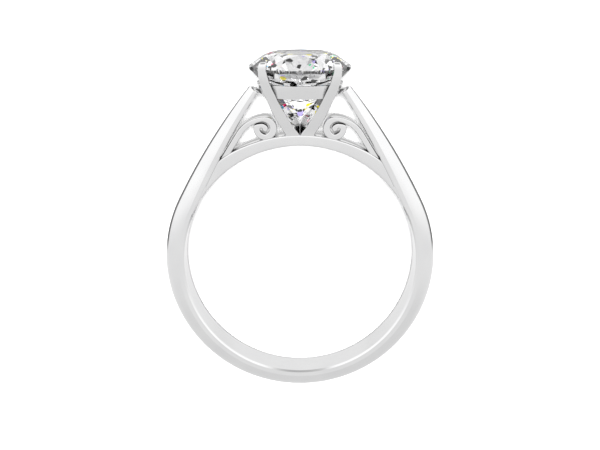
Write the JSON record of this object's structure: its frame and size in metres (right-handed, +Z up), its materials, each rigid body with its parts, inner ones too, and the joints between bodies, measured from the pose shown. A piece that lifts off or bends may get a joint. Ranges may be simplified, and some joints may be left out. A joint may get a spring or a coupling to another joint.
{
  "type": "finger ring",
  "caption": "Cathedral solitaire ring: half-round band, two rising shoulders, bridge with scrolls, pronged basket head and a round brilliant stone.",
  "frame": {"origin": "bottom centre of the bounding box, on the surface that the ring rests on", "axes": "+Y from the finger hole to the stone, along the ring's length; +Z up, out of the finger hole; +X across the band. The ring lies on its side and leans by 5.5 degrees on its stone"},
  "size_m": [0.0192, 0.0244, 0.0071],
  "materials": {
    "white_gold": "polished white gold",
    "diamond": "clear colourless cut stone"
  },
  "bodies": {
    "root": {"metal": "white_gold", "stone": "diamond"}
  },
  "joints": []
}
